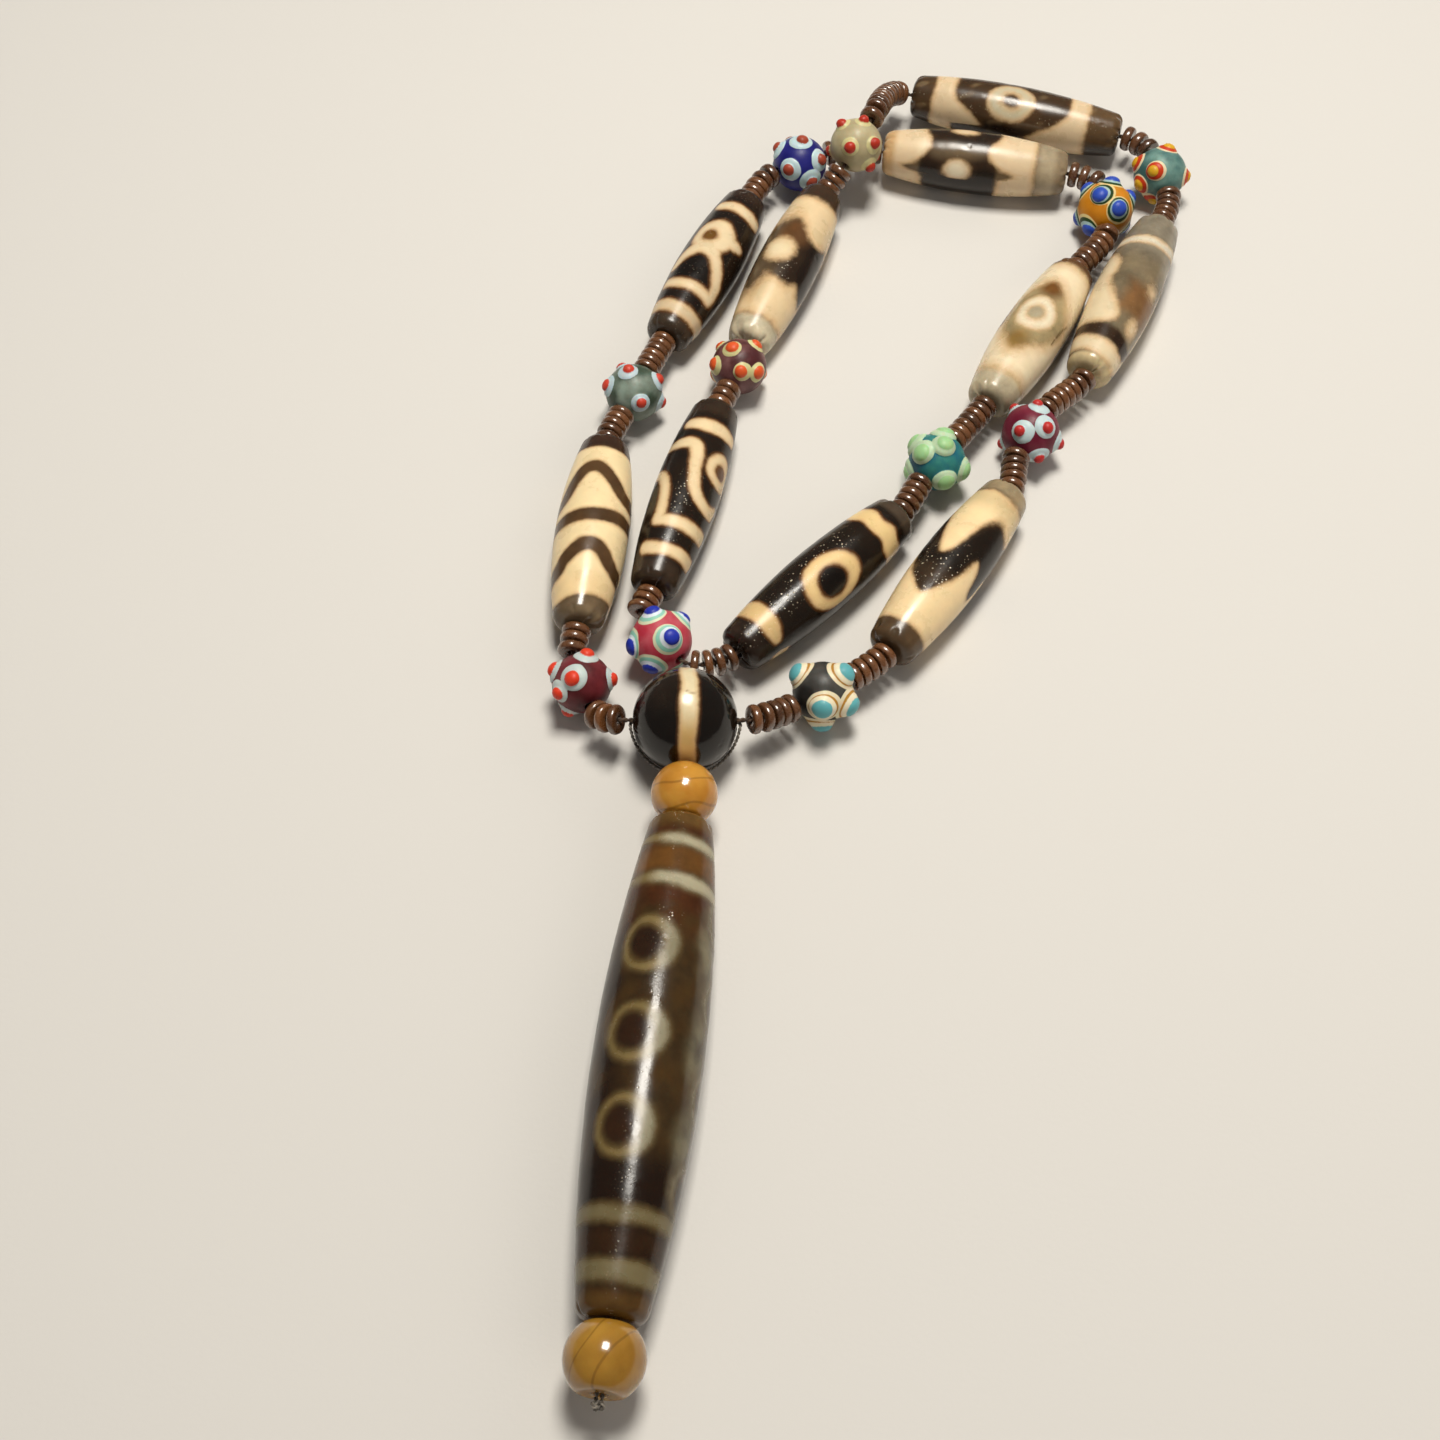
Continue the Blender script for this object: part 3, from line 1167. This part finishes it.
def eyed_ball(node, dots, seed):
    """Grid of a glass bead with raised eyes, and how far each point lies from each kind of dot."""
    x, y, z, heading, slope, _, girth = STRUNG[node]
    along, up, right = bore_frame(heading, slope)
    chance = np.random.default_rng(seed)
    radius = girth / 2
    profile = ball_profile(girth, GLASS_BORE / 2, GLASS_ALONG)
    phi = np.linspace(-math.pi, math.pi, GLASS_AROUND, endpoint=False)
    out = np.cos(phi)[:, None] * up + np.sin(phi)[:, None] * right
    local = profile[:, 0][:, None, None] * along + profile[:, 1][:, None, None] * out
    way = local / np.linalg.norm(local, axis=-1, keepdims=True)
    outside = ease((profile[:, 1] - GLASS_BORE / 2) / GLASS_FADE)[:, None]
    gaps = [np.full(local.shape[:2], 9.0) for _ in dots]
    rise = np.zeros(local.shape[:2])
    for from_end, round_bore in EYES[node]:
        a, b = math.radians(from_end), math.radians(round_bore)
        axis = math.cos(a) * along + math.sin(a) * (math.cos(b) * up - math.sin(b) * right)
        slip = chance.normal(size=3) * DOT_SLIP
        pull = chance.normal(size=3) * DOT_PULL
        grown = chance.uniform(0.92, 1.05)
        stack = np.zeros(local.shape[:2])
        for k, (reach, height, _) in enumerate(dots):
            middle = axis + slip * k
            middle /= np.linalg.norm(middle)
            off = way - middle
            gap = radius * 2 * np.arcsin(np.clip(np.linalg.norm(off, axis=-1) / 2, 0, 1))
            gap *= (1 + np.clip(off @ pull * radius / reach, -0.15, 0.15)) / grown
            gap += DOT_WAVER[0] * drift(local, DOT_WAVER[1], seed + k)
            gaps[k] = np.minimum(gaps[k], gap)
            stack += height * np.sqrt(np.clip(1 - (gap / reach) ** 2, 0, 1))
        rise = np.maximum(rise, stack)
    slack = GLASS_SWELL[0] * (1 + drift(local, GLASS_SWELL[1], seed + 9)) / 2
    points = np.array((x, y, z)) + local + ((rise - slack) * outside)[..., None] * way
    return points, gaps


def frosted_glass(name, body, milky, dots):
    """Matt glass whose dots are told by marks on the mesh, from the widest to the drop on top."""
    finish, tree, shader = new_finish(
        name, IOR=1.5, Specular_IOR_Level=0.3, Subsurface_Weight=0.2, Subsurface_Scale=0.0012
    )
    where = add(tree, "TexCoord", {}, "Object")
    cloud = noise(tree, where, 210.0, 4.0)
    sand = noise(tree, where, 5200.0, 2.0)
    colour = covered(tree, spread(tree, cloud, 0.38, 0.7), tint(body), tint(milky))
    for k, (reach, _, code) in enumerate(dots):
        gap = scaled(tree, cloud, 0.25, marked(tree, f"dot_{k}"))
        inside = spread(tree, gap, reach + 0.2, reach + 0.05, eased=True)
        colour = covered(tree, inside, colour, tint(code))
    tree.links.new(colour, shader.inputs["Base Color"])
    tree.links.new(spread(tree, sand, 0.3, 0.7, 0.34, 0.5), shader.inputs["Roughness"])
    relief(tree, shader, sand, 0.35, 0.00004)
    return finish


for seed, (node, (body, milky, dots)) in enumerate(GLASS.items(), 200):
    points, gaps = eyed_ball(node, dots, seed)
    marks = {f"dot_{k}": gap for k, gap in enumerate(gaps)}
    frosted = frosted_glass(node + "_frosted", body, milky, dots)
    ball = solid_from_grids(node + "_ball", [points], frosted, marks)
    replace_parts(ball, node)


# ---- Spacer discs ----
# Between the beads the thread carries packs of small turned wooden discs, dyed a dark red
# brown and worn glossy. No two are quite alike, and some have a nick in the rim.

DISC_BORE = 1.7
DISC_PACKS = 21
DISC_AROUND = 40
# Rounded lip of a disc's bore, as depth and reach, and the share of the thickness that is left
# where its faces are dished
DISC_LIP = (0.12, 0.16)
DISHED = 0.99
# Unevenness starts this far past the wall of the bore, and is full after so many mm more
DISC_FADE = (0.5, 1.2)
# Unevenness of a rim as shares of its radius: out of round, lobed, and the depth of a nick
OUT_OF_ROUND = 0.012
LOBES = 0.006
NICK = 0.06
NICK_WIDTH = 0.16


def loose_solids(node):
    """Corners of each solid of a CAD node, as arrays in mm."""
    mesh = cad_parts[node].data
    places = np.array([v.co for v in mesh.vertices]) / MM
    _, same = np.unique(np.round(places, 4), axis=0, return_inverse=True)
    same = same.ravel()
    group = np.arange(same.max() + 1)
    loops = np.array([same[list(p.vertices)[:3]] for p in mesh.polygons])
    settled = False
    while not settled:
        least = group[loops].min(1)
        before = group.copy()
        for k in range(3):
            np.minimum.at(group, loops[:, k], least)
        group = group[group]
        settled = (group == before).all()
    corner_group = group[same]
    return [
        np.unique(np.round(places[corner_group == g], 4), axis=0) for g in np.unique(corner_group)
    ]


def disc_grid(corners, seed):
    """Grid of a turned disc with a rounded, slightly uneven rim, where the CAD disc lies."""
    chance = np.random.default_rng(seed)
    middle = corners.mean(0)
    axis = np.linalg.svd(corners - middle, full_matrices=False)[2][2]
    reach = (corners - middle) @ axis
    thick = reach.max() - reach.min()
    flat = corners - middle - reach[:, None] * axis
    radius = np.linalg.norm(flat, axis=1).max()
    side = np.cross(axis, [0.3, 0.2, 0.93])
    side /= np.linalg.norm(side)
    up = np.cross(side, axis)
    half = thick / 2
    rim = half * chance.uniform(0.45, 0.7)
    mouth = DISC_BORE / 2
    sink, widen = DISC_LIP
    face = (half * DISHED, (mouth + radius - rim) / 2)
    rows = [(-half + sink, mouth), (-half, mouth + widen), (-face[0], face[1])]
    for turn in np.linspace(-math.pi / 2, math.pi / 2, 9):
        rows.append((half * math.sin(turn), radius - rim + rim * math.cos(turn)))
    rows += [face, (half, mouth + widen), (half - sink, mouth), (0, mouth)]
    rows = np.array(rows)
    phi = np.linspace(0, 2 * math.pi, DISC_AROUND, endpoint=False)
    wave = 1 - OUT_OF_ROUND * (1 + np.sin(2 * phi + chance.uniform(0, 6)))
    wave = wave - LOBES * (1 + np.sin(5 * phi + chance.uniform(0, 6)))
    for _ in range(chance.integers(0, 3)):
        deep = NICK * chance.uniform(0.3, 1)
        wave -= deep * np.exp(-(((phi - chance.uniform(0, 6.28)) / NICK_WIDTH) ** 2))
    outer = ease((rows[:, 1] - mouth - DISC_FADE[0]) / DISC_FADE[1])[:, None]
    r = rows[:, 1][:, None] * (1 + outer * (wave - 1))
    return (
        middle
        + rows[:, 0][:, None, None] * axis
        + (r * np.cos(phi))[..., None] * side
        + (r * np.sin(phi))[..., None] * up
    )


def turned_wood(name):
    """Dark dyed wood with a worn shine, its fibres and blotches, and a shade for each disc."""
    finish, tree, shader = new_finish(
        name, IOR=1.5, Coat_Weight=0.8, Coat_Roughness=0.16, Coat_IOR=1.75
    )
    where = add(tree, "TexCoord", {}, "Object")
    fibre = noise(tree, where, 1500.0, 4.0, distortion=1.5)
    blotch = noise(tree, where, 260.0, 2.0)
    tone = scaled(tree, fibre, 0.45, marked(tree, "disc_shade"))
    tone = scaled(tree, blotch, 0.35, tone)
    share = spread(tree, tone, 0.25, 1.15)
    colour = covered(tree, share, tint("#38200F"), tint("#84542F"))
    tree.links.new(colour, shader.inputs["Base Color"])
    tree.links.new(spread(tree, fibre, 0.3, 0.7, 0.2, 0.42), shader.inputs["Roughness"])
    relief(tree, shader, fibre, 0.4, 0.00006)
    return finish


disc_wood = turned_wood("turned_wood")
for number in range(1, DISC_PACKS + 1):
    node = f"spacers_{number:02d}"
    grids, shades = [], []
    for k, corners in enumerate(loose_solids(node)):
        grids.append(disc_grid(corners, 1000 * number + k))
        shade = np.random.default_rng(500 * number + k).uniform(0, 0.45)
        shades.append(np.full(grids[-1].shape[0] * grids[-1].shape[1], shade))
    marks = {"disc_shade": np.concatenate(shades)}
    pack = solid_from_grids(node + "_discs", grids, disc_wood, marks)
    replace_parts(pack, node)


# ---- Thread of the strand ----
# One waxed brown thread of two twisted plies runs through all the beads and discs. It shows
# only where a pack leaves a gap, and beside the round bead.

STRAND_THREAD = 1
# Bare thread before the bend of a pack starts, beside the round bead and beside the others
ROUND_GAP = 0.9
DISC_GAP = 0.14
# How far a bend keeps its first direction, where its points start and stop, all as shares of
# its length, and how far apart they lie
BEND_REACH = 0.28
BEND_ENDS = (0.08, 0.92)
BEND_STEP = 1.6
# Length of one full twist, radius of a ply as a share of the thread's girth, sides of a ply, and
# steps in a full twist
STRAND_TWIST = 2.2
PLY_SHARE = 0.29
PLY_SIDES = 6
STEPS_A_TWIST = 8


def twisted(points, girth, pitch, closed):
    """Grids of two plies that wind round each other along the points, with open ends drawn in."""
    points = np.array(points, float)
    run = points if not closed else np.vstack([points, points[:1]])
    steps = np.r_[0, np.cumsum(np.linalg.norm(np.diff(run, axis=0), axis=1))]
    count = int(steps[-1] / pitch * STEPS_A_TWIST)
    at = np.linspace(0, steps[-1], count, endpoint=not closed)
    path = np.stack([np.interp(at, steps, run[:, k]) for k in range(3)], 1)
    if closed:
        way = np.roll(path, -1, 0) - np.roll(path, 1, 0)
    else:
        way = np.gradient(path, axis=0)
    way /= np.linalg.norm(way, axis=1, keepdims=True)
    side = np.cross(way, [0.02, 0.01, 1])
    side /= np.linalg.norm(side, axis=1, keepdims=True)
    up = np.cross(side, way)
    turns = round(steps[-1] / pitch) if closed else steps[-1] / pitch
    ply = girth * PLY_SHARE
    plies = []
    for start in (0, math.pi):
        wind = start + 2 * math.pi * turns * at / steps[-1]
        core = path + (girth / 2 - ply) * (
            np.cos(wind)[:, None] * side + np.sin(wind)[:, None] * up
        )
        phi = np.linspace(0, 2 * math.pi, PLY_SIDES, endpoint=False)
        ring = np.cos(phi)[None, :, None] * side[:, None] + np.sin(phi)[None, :, None] * up[:, None]
        grid = core[:, None] + ply * ring
        if not closed:
            grid[0] = core[0]
            grid[-1] = core[-1]
        plies.append(grid)
    return plies


def shade_of_plies(plies, step):
    """Mark that makes every second ply lighter by a step."""
    return {
        "ply": np.concatenate(
            [np.full(p.shape[0] * p.shape[1], k % 2 * step) for k, p in enumerate(plies)]
        )
    }


def spun_thread(name, dark, light, sheen):
    """Twisted fibre, fuzzy and dull, with the shade of its ply."""
    finish, tree, shader = new_finish(name, Roughness=0.62, Sheen_Weight=sheen, Sheen_Roughness=0.4)
    where = add(tree, "TexCoord", {}, "Object")
    fuzz = noise(tree, where, 6000.0, 3.0)
    share = scaled(tree, fuzz, 0.5, marked(tree, "ply"))
    tree.links.new(covered(tree, share, tint(dark), tint(light)), shader.inputs["Base Color"])
    relief(tree, shader, fuzz, 0.6, 0.00005)
    return finish


def strand_path():
    """Points along the strand: straight through each bead and in one curve through each pack."""
    rows = list(STRUNG.items())
    path = []
    for (bead, place), (next_bead, next_place) in zip(rows, rows[1:] + rows[:1]):
        x, y, z, heading, slope, length, _ = place
        next_x, next_y, next_z, next_heading, next_slope, next_length, _ = next_place
        along = bore_frame(heading, slope)[0]
        next_along = bore_frame(next_heading, next_slope)[0]
        start = np.array((x, y, z)) + length / 2 * along
        finish = np.array((next_x, next_y, next_z)) - next_length / 2 * next_along
        path += [np.array((x, y, z)) - length / 2 * along, start]
        a = start + (ROUND_GAP if bead == "round_bead" else DISC_GAP) * along
        d = finish - (ROUND_GAP if next_bead == "round_bead" else DISC_GAP) * next_along
        span = np.linalg.norm(d - a)
        b, c = a + BEND_REACH * span * along, d - BEND_REACH * span * next_along
        for t in np.linspace(*BEND_ENDS, max(3, int(span / BEND_STEP))):
            u = 1 - t
            path.append(u**3 * a + 3 * u * u * t * b + 3 * u * t * t * c + t**3 * d)
    return path


plies = twisted(strand_path(), STRAND_THREAD, STRAND_TWIST, True)
waxed_thread = spun_thread("waxed_thread", "#22160E", "#5A4330", 0.2)
marks = shade_of_plies(plies, 0.45)
strand = solid_from_grids("strand_thread_plies", plies, waxed_thread, marks)
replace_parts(strand, "strand_thread")


# ---- Thread of the pendant ----
# A thinner twisted thread goes through the round bead, round its front on both sides, and
# down through the pendant beads. Below the last one its two ends are tied in a knot.

LOOP_THREAD = 0.7
LOOP_GAP = 0.1
LOOP_DIP = 28
LOOP_STEPS = 12
LOOP_TWIST = 1.5
KNOT_SIZE = 2.8
# Spread of the knot's three loops across the thread and their height along it, in mm, and the
# steps round it
KNOT_SPREAD = 0.33
KNOT_RISE = 0.42
KNOT_STEPS = 96


def pendant_path():
    """Points from the knot up one side, through the round bead and down the other side."""
    x, y, z, *_, round_girth = STRUNG["round_bead"]
    middle = np.array((x, y, z))
    reach = round_girth / 2 + LOOP_GAP + LOOP_THREAD / 2
    swing, _, swing_side = bore_frame(PENDANT_HEADING, 0)
    half, _, half_side = bore_frame(HALF_HEADING, 0)
    room = LOOP_THREAD + 2 * LOOP_GAP
    apart = room / 2
    upper_length, *_ = AMBERS["amber_upper"]
    low_length, *_ = AMBERS["amber_lower"]
    upper, pendant, lower = (
        np.array([sum(ends) / 2 / MM for ends in zip(*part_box(node))])
        for node in ("amber_upper", "pendant_dzi", "amber_lower")
    )
    foot = pendant + PENDANT_LENGTH / 2 * swing
    knot = lower + (low_length / 2 + KNOT_SIZE / 2 + DISC_GAP) * swing
    sides = []
    for side in (-1, 1):
        leg = [
            upper - (upper_length + room) / 2 * half + side * apart * half_side,
            upper + upper_length / 2 * half + side * apart * half_side,
            foot + side * apart * swing_side,
            lower - low_length / 2 * swing + side * apart * swing_side,
            knot + side * apart * swing_side,
        ]
        bend = []
        for k in range(1, LOOP_STEPS + 1):
            turn = math.radians(90 * k / (LOOP_STEPS + 1))
            dip = math.radians(LOOP_DIP * math.sin(2 * turn))
            across = -side * math.cos(turn) * math.cos(dip)
            out = -math.sin(turn) * math.cos(dip)
            bend.append(middle + reach * np.array((across, out, -math.sin(dip))))
        drop = (STRAND_THREAD + LOOP_THREAD) / 2 + LOOP_GAP
        sides.append([middle + np.array((-side * reach, 0, -drop))] + bend + leg)
    return list(reversed(sides[0])) + sides[1], knot, swing, swing_side


path, knot, knot_way, knot_side = pendant_path()
plies = twisted(path, LOOP_THREAD, LOOP_TWIST, False)
knot_up = np.cross(knot_side, knot_way)
turn = np.linspace(0, 2 * math.pi, KNOT_STEPS, endpoint=False)
knot_loop = (
    knot
    + KNOT_SPREAD * (np.sin(turn) + 2 * np.sin(2 * turn))[:, None] * knot_side
    + KNOT_SPREAD * (np.cos(turn) - 2 * np.cos(2 * turn))[:, None] * knot_up
    - KNOT_RISE * np.sin(3 * turn)[:, None] * knot_way
)
plies += twisted(knot_loop, LOOP_THREAD, LOOP_TWIST, True)
grey_thread = spun_thread("spun_thread", "#2E2822", "#8C8478", 0.3)
marks = shade_of_plies(plies, 0.5)
pendant_thread = solid_from_grids(
    "pendant_thread_plies", plies, grey_thread, marks
)
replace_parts(pendant_thread, "pendant_thread")
